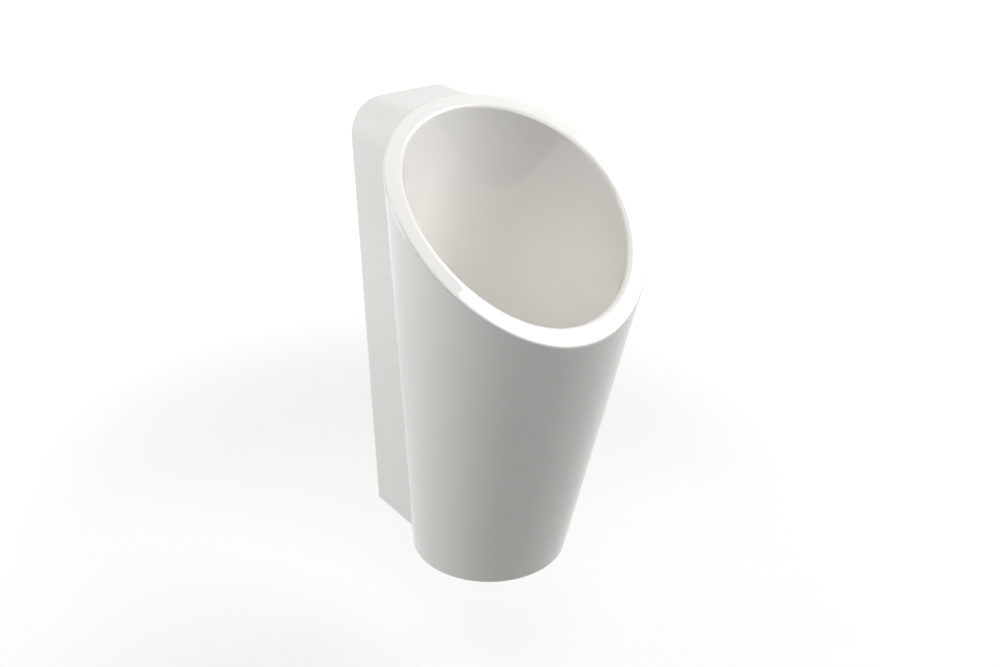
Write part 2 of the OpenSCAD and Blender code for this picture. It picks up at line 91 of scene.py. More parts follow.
# Grain of 0.5 mm, drawn at 1.5 mm so that it shows
BISQUE_GRAIN = 1.5 * MM
BISQUE_GRAIN_DEPTH = 0.08 * MM
RUBBER_BLOOM = 15 * MM
# Grain of 0.3 mm, drawn at 1 mm so that it shows
RUBBER_GRAIN = 1 * MM
RUBBER_GRAIN_DEPTH = 0.03 * MM
PLASTIC_FLOW = 30 * MM
# Spark texture of 0.2 mm, drawn at 1.2 mm so that it shows
PLASTIC_SPARK = 1.2 * MM
PLASTIC_SPARK_DEPTH = 0.015 * MM
PLASTIC_GLOW = 2 * MM
CUP_HAZE = 8 * MM
CUP_HAZE_DEPTH = 0.004 * MM
# Brush lines of 0.1 mm, drawn at 0.5 mm so that they show
BRUSH_LINE = 0.5 * MM
BRUSH_LINE_DEPTH = 0.01 * MM
# Rolling lines of 0.1 mm, drawn at 0.25 mm so that they show
STRIP_LINE = 6 * MM
STRIP_LINE_W = 0.25 * MM
STRIP_LINE_DEPTH = 0.02 * MM
ZINC_PATCH = 9 * MM
ZINC_SPOT = 4 * MM
ZINC_SPOT_DEPTH = 0.03 * MM
# Fibres of 0.5 mm, drawn at 3 mm because the screen is seen only in reflections
FLOCK_FIBRE = 3 * MM
FLOCK_DEPTH = 0.3 * MM
FLOOR_MOTTLE = 400 * MM

# Turn to the right of the front and rise over the target of each soft box, in degrees
SOFTBOXES = {"right": (60, 40), "left": (-120, 10), "top": (-120, 70), "front": (-30, 40)}


def linear(hex_colour):
    """Linear red, green and blue of an sRGB hex colour."""
    parts = [int(hex_colour[i:i + 2], 16) / 255 for i in (1, 3, 5)]
    return [part / 12.92 if part <= 0.04045 else ((part + 0.055) / 1.055) ** 2.4 for part in parts]


def length(name, millimetres, description):
    """A length that the user may change, from its millimetres."""
    return FloatProperty(
        name=name, description=description, default=millimetres * MM, unit="LENGTH", precision=4)


def angle(name, degrees, description):
    """An angle that the user may change, from its degrees."""
    return FloatProperty(
        name=name, description=description, default=math.radians(degrees), subtype="ANGLE")


def colour(name, hex_colour, description):
    """A colour that the user may change, from its sRGB hex value."""
    return FloatVectorProperty(
        name=name, description=description, default=linear(hex_colour), subtype="COLOR", min=0, max=1)


class BodySizes(PropertyGroup):
    """Sizes of the ceramic body, as the model has them, and of its rounded edges"""
    base_r: length("Base radius", 105, "Radius of the round body where its axis meets the base")
    flare: angle("Flare", 6.2, "Angle between the round body's side and its axis")
    lean: angle("Lean", 8.3, "Angle by which the axis leans away from the wall")
    axis_back: length("Axis to wall", 169, "Distance from the wall to the axis at the base")
    skin_t: length("Skin", 10, "Wall thickness of the outer skin and of the bowl")
    mouth_h: length("Mouth height", 501, "Height of the mouth on the axis")
    mouth_tilt: angle("Mouth tilt", 38, "Tilt of the mouth on the axis")
    arch_r: length("Mouth arch", 1186, "Radius of the mouth's arch, seen from the side")
    rim_w: length("Rim width", 24, "Width of the rim between the round body's side and the bowl")
    rim_t: length("Rim depth", 22, "Depth of the solid rim under the mouth")
    bowl_h: length("Bowl middle", 250, "Height of the middle of the bowl's round floor")
    bowl_flare: angle("Bowl flare", 8, "Angle between the bowl's side and the axis")
    box_h: length("Box height", 590, "Height of the wall box")
    box_foot_w: length("Box foot width", 146, "Width of the wall box at the base")
    box_top_w: length("Box top width", 172, "Width between the box's sides where they reach its top")
    box_corner_r: length("Box corner", 44, "Radius of the two top corners of the wall box")
    box_depth: length("Box depth", 130, "Distance from the wall to the box's front in the round body")
    box_wall_t: length("Box wall", 11, "Wall thickness of the wall box")
    outlet_r: length("Outlet", 49.5, "Radius of the hole in the bowl's floor")
    recess_r: length("Recess", 59, "Radius of the recess for the flange in the bowl's floor")
    boss_r: length("Boss", 66, "Radius of the thick ring round the hole, seen from below")
    boss_t: length("Boss thickness", 13, "Thickness of the ceramic at the hole")
    flange_t: length("Flange and seal", 8, "Depth of the recess for the flange and its seal")
    rail_h: length("Rail height", 26, "Height of the crossbar that hangs on the hooks")
    lug_h: length("Lug height", 20, "Height of the lugs on the lower anchors")
    lug_over: length("Lug overhang", 2, "Reach of the lugs past the pads")
    pad_w: length("Pad width", 21, "Width of a lug's pad on its anchor")
    clamp_hole_r: length("Clamp hole", 5, "Radius of the holes for the clamp bolts")
    rim_edge_r: length("Rim's outer edge", 4, "Radius of the rounded outer edge of the rim")
    lip_r: length("Rim's inner lip", 7, "Radius of the rounded lip between the rim and the bowl")
    foot_edge_r: length("Foot edge", 1.2, "Radius of the rounded edge round the base")
    glaze: colour("Glaze", "#F7F5F1", "Colour of the fired glaze")
    bisque: colour("Bisque", "#E6E1D6", "Colour of the bare fired china where it isn't glazed")


class FittingSizes(PropertyGroup):
    """Edges and colours of the fittings inside and behind the body"""
    plastic_edge_r: length("Plastic edge", 0.5, "Radius of the rounded edges of moulded plastic")
    rubber_edge_r: length("Rubber edge", 0.4, "Radius of the rounded edges of moulded rubber")
    steel_edge_r: length("Steel edge", 0.4, "Radius of the rounded edges of pressed steel")
    seam_t: length("Float seam", 0.2, "Height of the moulding seam round the float")
    rubber: colour("Rubber", "#2C2D2E", "Colour of the rubber seals and pads")
    white_plastic: colour("White plastic", "#DCDEDD", "Colour of the white fittings")
    grey_plastic: colour("Grey plastic", "#8D9194", "Colour of the trap housing and its nut")
    clear_plastic: colour("Clear plastic", "#F0F4F4", "Tint of the cartridge's clear cup")
    float_plastic: colour("Float", "#D8D2BF", "Colour of the hollow float")
    steel: colour("Stainless steel", "#C6C7C6", "Colour of the strainer lid and the clips")
    zinc: colour("Zinc", "#B4B9BC", "Colour of the zinc on the bracket and the bolts")


class StageSettings(PropertyGroup):
    """Camera, lamps and floor"""
    eye: FloatVectorProperty(
        name="Camera", description="Place of the camera", default=(-0.816, -1.290, 0.998), subtype="XYZ",
        unit="LENGTH")
    look_at: FloatVectorProperty(
        name="Camera target", description="Point in the middle of the view",
        default=(0.0252, -0.1628, 0.3007), subtype="XYZ", unit="LENGTH")
    lens: FloatProperty(
        name="Lens", description="Focal length in millimetres on a 36 mm sensor", default=43.68)
    floor_drop: length("Floor", 270, "Distance from the body's base down to the floor")
    ambient: FloatProperty(name="Room light", description="Even light from all round", default=0.0)
    lamp_distance: length("Lamp distance", 1600, "Distance from the target to each soft box")
    softbox_w: length("Soft box", 1000, "Width and height of each soft box")
    right: FloatProperty(name="Right", description="Brightness of the right soft box", default=6.4)
    left: FloatProperty(name="Left", description="Brightness of the left soft box", default=4.0)
    top: FloatProperty(name="Top", description="Brightness of the top soft box", default=2.1)
    front: FloatProperty(name="Front", description="Brightness of the front soft box", default=2.1)
    flag_h: length("Flag height", 800, "Height of the dark screen over the floor")
    flag_away: length("Flag distance", 2000, "Distance from the camera's target to the dark screen")
    flag_from: angle("Flag start", -135, "Turn to the right of the front at which the screen starts")
    flag_sweep: angle("Flag sweep", 200, "Angle that the dark screen goes round the object")
    flag_colour: colour("Flag", "#1E1E1E", "Colour of the dark screen")
    floor_size: length("Floor size", 12000, "Half the width of the floor")
    floor_near: length("Shadow area", 700, "Distance up to which the floor keeps the object's shadow")
    floor_far: length("White area", 1700, "Distance from the object past which the floor shows as white")
    floor_lift: FloatProperty(
        name="Floor lift", description="White added to the lit floor near the object", default=0.6)
    floor_colour: colour("Floor", "#BDBDBB", "Colour of the floor")


def placed(shape, name):
    """An object in the scene with a new mesh from a bmesh, which is freed."""
    mesh = bpy.data.meshes.new(name)
    shape.to_mesh(mesh)
    shape.free()
    piece = bpy.data.objects.new(name, mesh)
    bpy.context.scene.collection.objects.link(piece)
    return piece


def settle(piece):
    """Makes a piece's modifiers part of its mesh."""
    bpy.context.view_layer.update()
    finished = piece.evaluated_get(bpy.context.evaluated_depsgraph_get())
    old = piece.data
    shape = bpy.data.meshes.new_from_object(finished)
    piece.modifiers.clear()
    piece.data = shape
    bpy.data.meshes.remove(old)


def combined(piece, tool, operation):
    """Joins, cuts or trims a piece with a tool, which is then thrown away."""
    step = piece.modifiers.new(operation.title(), "BOOLEAN")
    step.operation = operation
    step.object = tool
    step.solver = "EXACT"
    step.material_mode = "TRANSFER"
    settle(piece)
    bpy.data.objects.remove(tool)


def shaded(piece):
    """Smooth shading that keeps sharp edges and flat faces."""
    shape = bmesh.new()
    shape.from_mesh(piece.data)
    for face in shape.faces:
        face.smooth = True
    for edge in shape.edges:
        edge.smooth = edge.calc_face_angle(0) < SHARP
    shape.to_mesh(piece.data)
    shape.free()
    step = piece.modifiers.new("Weighted normals", "WEIGHTED_NORMAL")
    step.keep_sharp = True
    settle(piece)


def rod(name, bottom_r, top_r, height, facets, place):
    """Round bar or cone that stands on a place and rises along its z."""
    shape = bmesh.new()
    bmesh.ops.create_cone(
        shape, cap_ends=True, segments=facets, radius1=bottom_r, radius2=top_r, depth=height,
        matrix=place @ Matrix.Translation((0, 0, height / 2)))
    return placed(shape, name)


def block(name, low, high):
    """Block between two corners, stretched from a cube of side one."""
    low, high = Vector(low), Vector(high)
    shape = bmesh.new()
    middle = Matrix.Translation((low + high) / 2)
    bmesh.ops.create_cube(shape, size=1, matrix=middle @ Matrix.Diagonal((*(high - low), 1)))
    return placed(shape, name)


def spun(name, section_at, rows, place):
    """Closed solid whose half section changes as it turns.

    A plain tube is spun with a row for each point of the section, and then each of its points moves to
    where the section at its turn has it.
    """
    shape = bmesh.new()
    points = [shape.verts.new((rows, 0, row)) for row in range(rows)]
    edges = [shape.edges.new(pair) for pair in zip(points, points[1:])]
    bmesh.ops.spin(
        shape, geom=points + edges, cent=(0, 0, 0), axis=(0, 0, 1), angle=math.tau, steps=FINE,
        use_merge=True)
    sections = [section_at(math.tau * step / FINE) for step in range(FINE)]
    for point in shape.verts:
        turn = math.atan2(point.co.y, point.co.x)
        step = round(turn / math.tau * FINE) % FINE
        r, s = sections[step][round(point.co.z)]
        point.co = (r * math.cos(turn), r * math.sin(turn), s)
    bmesh.ops.remove_doubles(shape, verts=shape.verts, dist=WELD)
    bmesh.ops.transform(shape, matrix=place, verts=shape.verts)
    bmesh.ops.recalc_face_normals(shape, faces=shape.faces)
    return placed(shape, name)


def spread(start, end, count):
    """Evenly spread points between two points, without the two."""
    return [start.lerp(end, (i + 1) / (count + 1)) for i in range(count)]


def rounding(before, corner, after, radius, steps):
    """Points of an arc that rounds the corner between two straight runs."""
    to_before = (before - corner).normalized()
    to_after = (after - corner).normalized()
    half = to_before.angle(to_after) / 2
    middle = corner + (to_before + to_after).normalized() * radius / math.sin(half)
    start = corner + to_before * radius / math.tan(half) - middle
    end = corner + to_after * radius / math.tan(half) - middle
    sweep = start.angle(end)
    shares = [i / steps for i in range(steps + 1)]
    return [
        middle + (start * math.sin((1 - t) * sweep) + end * math.sin(t * sweep)) / math.sin(sweep)
        for t in shares]


class BodyForm:
    """The ceramic body's form, worked out from its sizes on its leaning axis."""

    def __init__(self, sizes):
        self.sizes = sizes
        self.axis = Matrix.Translation((0, -sizes.axis_back, 0)) @ Matrix.Rotation(sizes.lean, 4, "X")
        self.mouth_s = sizes.mouth_h / math.cos(sizes.lean)
        self.bowl_s = sizes.bowl_h / math.cos(sizes.lean)
        self.outlet_y = -sizes.axis_back - sizes.bowl_h * math.tan(sizes.lean)
        mouth_y = -sizes.axis_back - sizes.mouth_h * math.tan(sizes.lean)
        self.arch = Vector((
            0,
            mouth_y + sizes.arch_r * math.sin(sizes.mouth_tilt),
            sizes.mouth_h - sizes.arch_r * math.cos(sizes.mouth_tilt)))
        self.arch_on_axis = self.axis.inverted() @ self.arch

    def outer_r(self, s):
        """Radius of the round body at a distance along its axis."""
        return self.sizes.base_r + s * math.tan(self.sizes.flare)

    def bowl_r(self, s):
        """Radius of the bowl at a distance along the axis."""
        mouth_r = self.outer_r(self.mouth_s) - self.sizes.rim_w
        return mouth_r + (s - self.mouth_s) * math.tan(self.sizes.bowl_flare)

    def ball_r(self, grow):
        """Radius of the ball that rounds the bowl's floor, grown by a wall thickness."""
        return (self.bowl_r(self.bowl_s) + grow) * math.cos(self.sizes.bowl_flare)

    def bowl_floor(self, grow, steps):
        """Half section of the bowl's round floor, from its side to its middle, grown by a thickness."""
        radius = self.ball_r(grow)
        flare = self.sizes.bowl_flare
        dips = [flare + (math.pi / 2 - flare) * i / steps for i in range(steps + 1)]
        return [Vector((radius * math.cos(dip), self.bowl_s - radius * math.sin(dip))) for dip in dips]

    def mouth_at(self, r, turn):
        """Distance along the axis at which the mouth lies, at a radius and a turn."""
        across = r * math.sin(turn) - self.arch_on_axis.y
        return self.arch_on_axis.z + math.sqrt(self.sizes.arch_r ** 2 - across ** 2)

    def mouth_corner(self, radius_at, turn):
        """Where a side meets the mouth, at a turn."""
        s = self.mouth_s
        for _ in range(MEET_ROUNDS):
            s = self.mouth_at(radius_at(s), turn)
        return Vector((radius_at(s), s))

    def foot_corner(self, turn):
        """Where the side meets the level base, at a turn."""
        tilt = math.sin(turn) * math.tan(self.sizes.lean)
        s = -self.sizes.base_r * tilt / (1 + math.tan(self.sizes.flare) * tilt)
        return Vector((self.outer_r(s), s))

    def rounded_to_mouth(self, corner, side, way, radius, turn, steps):
        """Arc between a side and the rim, bent as the mouth's arch is.

        The rim lies outwards of the corner where way is 1, and inwards where it is -1.
        """
        nudge = radius * way
        flat = corner + Vector((nudge, 0))
        slope = (self.mouth_at(flat.x, turn) - self.mouth_at(corner.x - nudge, turn)) / (2 * nudge)
        flat.y = corner.y + slope * nudge
        arc = rounding(side, corner, flat, radius, steps)
        for point in arc:
            point.y += self.mouth_at(point.x, turn) - corner.y - slope * (point.x - corner.x)
        return arc

    def section(self, turn):
        """Half section at a turn: base, side, rim, lip and bowl."""
        sizes = self.sizes
        middle = Vector((0, 0))
        foot = self.foot_corner(turn)
        rim = self.mouth_corner(self.outer_r, turn)
        lip = self.mouth_corner(self.bowl_r, turn)
        floor = self.bowl_floor(0, FLOOR_STEPS)
        foot_arc = rounding(middle, foot, rim, sizes.foot_edge_r, FOOT_STEPS)
        rim_arc = self.rounded_to_mouth(rim, foot, -1, sizes.rim_edge_r, turn, RIM_STEPS)
        lip_arc = self.rounded_to_mouth(lip, floor[0], 1, sizes.lip_r, turn, LIP_STEPS)
        lip_arc.reverse()
        side = spread(foot_arc[-1], rim_arc[0], SIDE_POINTS)
        flat = spread(rim_arc[-1], lip_arc[0], RIM_POINTS)
        for point in flat:
            point.y = self.mouth_at(point.x, turn)
        bowl_side = spread(lip_arc[-1], floor[0], BOWL_POINTS)
        return [middle] + foot_arc + side + rim_arc + flat + lip_arc + bowl_side + floor

    def round_solid(self):
        """Round body with its bowl, rim and rounded edges, as one closed solid."""
        return spun("round_solid", self.section, len(self.section(0)), self.axis)

    def bowl(self, grow):
        """Bowl as a solid, grown by a wall thickness."""
        top_s = self.mouth_s + self.outer_r(self.mouth_s)
        top_r = self.bowl_r(top_s) + grow
        section = [(0, top_s), (top_r, top_s), *self.bowl_floor(grow, CUTTER_STEPS)]
        return spun("bowl", lambda turn: section, len(section), self.axis)

    def box(self, inset, past):
        """Wall box with round top corners, drawn in by an inset and run past the wall and the base."""
        sizes = self.sizes
        slope = (sizes.box_top_w - sizes.box_foot_w) / 2 / sizes.box_h
        # An inset square to the slanting side is this much wider when it is measured level
        slant = math.hypot(1, slope)
        top = sizes.box_h - inset
        foot_x = sizes.box_foot_w / 2 - inset * slant - past * slope
        top_x = sizes.box_foot_w / 2 - inset * slant + top * slope
        shape = bmesh.new()
        outline = [(-foot_x, -past), (foot_x, -past), (top_x, top), (-top_x, top)]
        back = shape.faces.new([shape.verts.new((x, past, z)) for x, z in outline])
        front = bmesh.ops.extrude_face_region(shape, geom=[back], use_keep_orig=True)
        moved = [part for part in front["geom"] if isinstance(part, bmesh.types.BMVert)]
        bmesh.ops.translate(shape, verts=moved, vec=(0, -sizes.box_depth - past, 0))
        corners = [
            edge for edge in shape.edges
            if min(point.co.z for point in edge.verts) > sizes.box_h / 2
            and abs(edge.verts[0].co.x - edge.verts[1].co.x) < WELD]
        reach = (sizes.box_corner_r - inset) / math.tan((math.pi / 2 - math.atan(slope)) / 2)
        bmesh.ops.bevel(
            shape, geom=corners, affect="EDGES", offset=reach, offset_type="OFFSET",
            segments=CORNER_STEPS, profile=0.5, material=-1)
        bmesh.ops.recalc_face_normals(shape, faces=shape.faces)
        return placed(shape, "box")

    def hollow(self):
        """Space behind and below the bowl, open to the wall and to the base."""
        sizes = self.sizes
        foot_s = -sizes.base_r / 2
        top_s = self.mouth_s + self.outer_r(self.mouth_s)
        foot_r = self.outer_r(foot_s) - sizes.skin_t
        top_r = self.outer_r(top_s) - sizes.skin_t
        foot = self.axis @ Matrix.Translation((0, 0, foot_s))
        space = rod("hollow", foot_r, top_r, top_s - foot_s, FINE, foot)
        combined(space, self.box(sizes.box_wall_t, CLEAR), "UNION")
        combined(space, self.under_mouth(sizes.rim_t), "INTERSECT")
        combined(space, self.bowl(sizes.skin_t), "DIFFERENCE")
        combined(space, self.boss(), "DIFFERENCE")
        combined(space, self.rail(), "DIFFERENCE")
        for side in (-1, 1):
            combined(space, self.lug(side), "DIFFERENCE")
            combined(space, self.clamp_hole(side), "UNION")
        return space

    def under_mouth(self, depth):
        """Everything below the arched mouth, lowered by a depth."""
        reach = 2 * self.sizes.box_h
        arch_r = self.sizes.arch_r - depth
        start = Matrix.Translation(self.arch - Vector((reach / 2, 0, 0)))
        across = start @ Matrix.Rotation(math.pi / 2, 4, "Y")
        return rod("under_mouth", arch_r, arch_r, reach, ARCH, across)

    def boss(self):
        """Thick ring under the bowl's floor, which the housing's nut clamps."""
        sizes = self.sizes
        foot_z = self.recess_z() - sizes.flange_t - sizes.boss_t
        height = sizes.bowl_h - foot_z
        return rod("boss", sizes.boss_r, sizes.boss_r, height, SMALL, self.on_outlet(foot_z))

    def rail(self):
        """Crossbar that rests on the hanger's pads."""
        low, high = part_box("hanger_pads")
        reach = self.sizes.box_foot_w
        return block("rail", (-reach, low.y, high.z), (reach, high.y, high.z + self.sizes.rail_h))

    def lug(self, side):
        """Lug that rests on an anchor's pad, on one side."""
        low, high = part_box("anchor_pads")
        inner = high.x - self.sizes.pad_w
        outer = inner + self.sizes.box_foot_w
        left, right = sorted((side * inner, side * outer))
        front = low.y - self.sizes.lug_over
        return block("lug", (left, front, high.z), (right, high.y, high.z + self.sizes.lug_h))

    def clamp_hole(self, side):
        """Hole through a lug for its clamp bolt, on one side."""
        sizes = self.sizes
        bolt_low, bolt_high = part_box("clamp_bolts")
        pad_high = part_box("anchor_pads")[1]
        x = side * (pad_high.x - sizes.pad_w / 2)
        y = (bolt_low.y + bolt_high.y) / 2
        foot = Matrix.Translation((x, y, pad_high.z - CLEAR))
        height = sizes.lug_h + 2 * CLEAR
        return rod("hole", sizes.clamp_hole_r, sizes.clamp_hole_r, height, SMALL, foot)

    def outlet(self):
        """Hole and flange recess in the bowl's floor, as one solid."""
        sizes = self.sizes
        ledge_z = self.recess_z() - sizes.flange_t
        foot_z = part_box("trap_housing")[0].z
        section = (
            (0, foot_z), (sizes.outlet_r, foot_z), (sizes.outlet_r, ledge_z),
            (sizes.recess_r, ledge_z), (sizes.recess_r, sizes.bowl_h), (0, sizes.bowl_h))
        return spun("outlet", lambda turn: section, len(section), self.on_outlet(0))

    def recess_z(self):
        """Height at which the recess's wall meets the bowl's floor."""
        return self.sizes.bowl_h - math.sqrt(self.ball_r(0) ** 2 - self.sizes.recess_r ** 2)

    def on_outlet(self, z):
        """Place on the outlet's upright axis, at a height."""
        return Matrix.Translation((0, self.outlet_y, z))


def node_form(node):
    """Copy of a node's mesh, with its points joined and its flat faces whole again."""
    shape = bmesh.new()
    shape.from_mesh(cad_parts[node].data)
    bmesh.ops.remove_doubles(shape, verts=shape.verts, dist=WELD)
    bmesh.ops.dissolve_limit(
        shape, angle_limit=FLAT, use_dissolve_boundaries=False, verts=shape.verts, edges=shape.edges,
        delimit={"NORMAL"})
    bmesh.ops.join_triangles(
        shape, faces=[face for face in shape.faces if len(face.verts) == 3], angle_face_threshold=SHARP,
        angle_shape_threshold=math.pi)
    return shape


def softened(node, name, edge_r, finish, slot, body):
    """Stands for a node with its edges rounded off, in a finish, and rides on the node's body."""
    shape = node_form(node)
    edges = [edge for edge in shape.edges if edge.calc_face_angle(0) > SHARP]
    bmesh.ops.bevel(
        shape, geom=edges, affect="EDGES", offset=edge_r, offset_type="OFFSET", segments=2,
        profile=0.5, material=-1, clamp_overlap=True)
    dressed(placed(shape, name), finish, slot, body, node)


def dressed(piece, finish, slot, body, *nodes):
    """Gives a piece its shading, finish and body, and lets it stand for the nodes."""
    if not piece.data.materials:
        piece.data.materials.append(finish)
    shaded(piece)
    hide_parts(*nodes)
    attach(piece, body)


def add(tree, kind, feeds=None, **settings):
    """A node with its settings, and with a value, a socket or a node's first output in its inputs."""
    node = tree.nodes.new(kind)
    for name, value in settings.items():
        setattr(node, name, value)
    for name, value in (feeds or {}).items():
        if isinstance(value, bpy.types.Node):
            value = value.outputs[0]
        if isinstance(value, bpy.types.NodeSocket):
            tree.links.new(value, node.inputs[name])
        else:
            node.inputs[name].default_value = value
    return node


def material(name):
    """An empty node material and its tree."""
    made = bpy.data.materials.new(name)
    made.use_nodes = True
    made.node_tree.nodes.clear()
    return made, made.node_tree


def shaded_by(rgb, share):
    """A colour with its share of light, lighter where the share is over one."""
    return (*(min(part * share, 1) for part in rgb), 1)


def grained(name, rgb, second, cloud, grain, depth, rough, along=(1, 1, 1), **shader):
    """A material with a tone that drifts in clouds, and a grain that sets its gloss and its relief.

    The tone goes to a second share of the colour, the roughness from one end of its range to the other,
    and along says how many times finer the pattern is on each axis.
    """
    made, tree = material(name)
    place = add(tree, "ShaderNodeTexCoord")
    drawn = add(tree, "ShaderNodeMapping", {"Vector": place.outputs["Object"], "Scale": along})
    clouds = add(tree, "ShaderNodeTexNoise", {"Vector": drawn, "Scale": 1 / cloud, "Detail": 2})
    tone = add(
        tree, "ShaderNodeMix", {0: clouds, MIX_A: shaded_by(rgb, 1), MIX_B: shaded_by(rgb, second)},
        data_type="RGBA")
    grains = add(tree, "ShaderNodeTexNoise", {"Vector": drawn, "Scale": 1 / grain, "Detail": 3})
    gloss = add(
        tree, "ShaderNodeMapRange",
        {"Value": grains, "From Min": NOISE_LOW, "From Max": NOISE_HIGH, "To Min": rough[0],
         "To Max": rough[1]})
    relief = add(tree, "ShaderNodeBump", {"Height": grains, "Distance": depth})
    others = {socket.replace("_", " "): value for socket, value in shader.items()}
    surface = add(
        tree, "ShaderNodeBsdfPrincipled",
        {"Base Color": tone.outputs[MIX_COLOUR], "Roughness": gloss, "Normal": relief, **others})
    add(tree, "ShaderNodeOutputMaterial", {"Surface": surface})
    return made


def glazed_vitreous_china(rgb):
    """Vitreous china, sprayed with white glaze and fired."""
    # The fired glaze gives a deep even white, a clear reflection and a very faint long ripple
    return grained(
        "glazed_vitreous_china", rgb, second=0.975, cloud=GLAZE_POOL, grain=GLAZE_RIPPLE,
        depth=GLAZE_RIPPLE_DEPTH, rough=(0.01, 0.03), IOR=1.6)


def bare_china(rgb):
    """The same china where the glaze is wiped off: at the wall, at the base and in the hollow."""
    # Fired clay without glaze gives a matt, slightly warm surface with a fine grain
    return grained(
        "bare_fired_china", rgb, second=0.9, cloud=BISQUE_PATCH, grain=BISQUE_GRAIN,
        depth=BISQUE_GRAIN_DEPTH, rough=(0.7, 0.85), IOR=1.5)


def moulded_rubber(rgb):
    """Moulded EPDM rubber."""
    # Rubber gives a dull dark surface with a fine grain and a faint pale bloom
    return grained(
        "moulded_epdm_rubber", rgb, second=1.5, cloud=RUBBER_BLOOM, grain=RUBBER_GRAIN,
        depth=RUBBER_GRAIN_DEPTH, rough=(0.5, 0.68), IOR=1.52)


def moulded_polypropylene(name, rgb, rough):
    """Injection moulded polypropylene."""
    # The mould's spark texture gives a soft sheen, and the flow of the plastic a faint change of tone
    return grained(
        name, rgb, second=0.93, cloud=PLASTIC_FLOW, grain=PLASTIC_SPARK, depth=PLASTIC_SPARK_DEPTH,
        rough=rough, IOR=1.49, Subsurface_Weight=0.05, Subsurface_Scale=PLASTIC_GLOW)


def clear_polycarbonate(rgb):
    """Injection moulded clear polycarbonate."""
    # Clear plastic shows what is behind it, bent and a little hazed by use
    return grained(
        "clear_polycarbonate", rgb, second=0.94, cloud=CUP_HAZE, grain=CUP_HAZE, depth=CUP_HAZE_DEPTH,
        rough=(0.04, 0.16), IOR=1.585, Transmission_Weight=0.9)


def rolled_stainless(rgb):
    """Stainless steel strip, brushed along its length."""
    # Lines of the rolling run along the strip, round the sleeve
    return grained(
        "strip_brushed_stainless", rgb, second=0.85, cloud=STRIP_LINE, grain=STRIP_LINE,
        depth=STRIP_LINE_DEPTH, rough=(0.25, 0.42), along=(1, STRIP_LINE / STRIP_LINE_W, 1), Metallic=1)


def zinc_plated_steel(name, rgb, rough):
    """Pressed steel with a coat of bright zinc."""
    # Zinc gives a cool grey metal with faint cloudy patches and small dull spots
    return grained(
        name, rgb, second=0.86, cloud=ZINC_PATCH, grain=ZINC_SPOT, depth=ZINC_SPOT_DEPTH, rough=rough,
        Metallic=1)


def flocked_card(rgb):
    """Card covered with black flock, as studios use to keep light off a picture."""
    # Upright fibres swallow the light, so that the card shows as an even near black
    return grained(
        "black_flocked_card", rgb, second=1.3, cloud=FLOCK_FIBRE, grain=FLOCK_FIBRE, depth=FLOCK_DEPTH,
        rough=(0.92, 0.98))


def spun_stainless(rgb, middle):
    """Stainless steel sheet, brushed in circles on a spindle."""
    # Circular brushing gives fine rings of tone that catch the light as a fan
    made, tree = material("circle_brushed_stainless")
    place = add(tree, "ShaderNodeTexCoord")
    centred = add(
        tree, "ShaderNodeMapping", {"Vector": place.outputs["Object"], "Location": -middle})
    flat = add(tree, "ShaderNodeVectorMath", {0: centred, 1: (1, 1, 0)}, operation="MULTIPLY")
    radius = add(tree, "ShaderNodeVectorMath", {0: flat}, operation="LENGTH")
    lines = add(
        tree, "ShaderNodeTexNoise", {"W": radius.outputs["Value"], "Scale": 1 / BRUSH_LINE, "Detail": 3},
        noise_dimensions="1D")
    tone = add(
        tree, "ShaderNodeMix", {0: lines, MIX_A: shaded_by(rgb, 1), MIX_B: shaded_by(rgb, 0.82)},
        data_type="RGBA")
    gloss = add(
        tree, "ShaderNodeMapRange",
        {"Value": lines, "From Min": NOISE_LOW, "From Max": NOISE_HIGH, "To Min": 0.24, "To Max": 0.4})
    relief = add(tree, "ShaderNodeBump", {"Height": lines, "Distance": BRUSH_LINE_DEPTH})
    surface = add(
        tree, "ShaderNodeBsdfPrincipled",
        {"Base Color": tone.outputs[MIX_COLOUR], "Metallic": 1, "Roughness": gloss, "Normal": relief})
    add(tree, "ShaderNodeOutputMaterial", {"Surface": surface})
    return made


class OBJECT_OT_urinal_body(Operator):
    """Builds the ceramic body with its rounded rim, and glazes it"""
    bl_idname = "object.urinal_body"
    bl_label = "Ceramic body"

    def execute(self, context):
        sizes = context.scene.urinal_body
        glaze = glazed_vitreous_china(sizes.glaze)
        bare = bare_china(sizes.bisque)
        form = BodyForm(sizes)
        body = form.round_solid()
        box = form.box(0, 0)
        combined(box, form.under_mouth(CLEAR), "INTERSECT")
        combined(box, form.bowl(sizes.lip_r + CLEAR), "DIFFERENCE")
        hollow = form.hollow()
        way_in = form.outlet()
        for solid, finish in ((body, glaze), (box, glaze), (hollow, bare), (way_in, glaze)):
            solid.data.materials.append(finish)
        combined(body, box, "UNION")
        combined(hollow, way_in, "UNION")
        combined(body, hollow, "DIFFERENCE")
        body.name = "glazed_body"
        bare_slot = list(body.data.materials).index(bare)
        for face in body.data.polygons:
            if face.center.y > -WELD or face.center.z < WELD:
                face.material_index = bare_slot
        dressed(body, glaze, "glaze", "body", "ceramic_body")
        return {"FINISHED"}


class OBJECT_OT_urinal_seals(Operator):
    """Rounds and finishes the rubber seals, pads and the sleeve at the wall"""
    bl_idname = "object.urinal_seals"
    bl_label = "Rubber seals and sleeve"

    def execute(self, context):
        sizes = context.scene.urinal_fittings
        edge_r = sizes.rubber_edge_r
        rubber = moulded_rubber(sizes.rubber)
        fixed = (
            "flange_seal", "underside_seal", "union_seal", "hanger_pads", "anchor_pads", "wall_connector")
        for node in fixed:
            softened(node, node + "_rubber", edge_r, rubber, "seal_rubber", "body")
        softened("seat_seal", "seat_seal_rubber", edge_r, rubber, "seal_rubber", "cartridge")
        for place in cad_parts["head_seals"].material_slots:
            place.link = "OBJECT"
            place.material = rubber
        return {"FINISHED"}


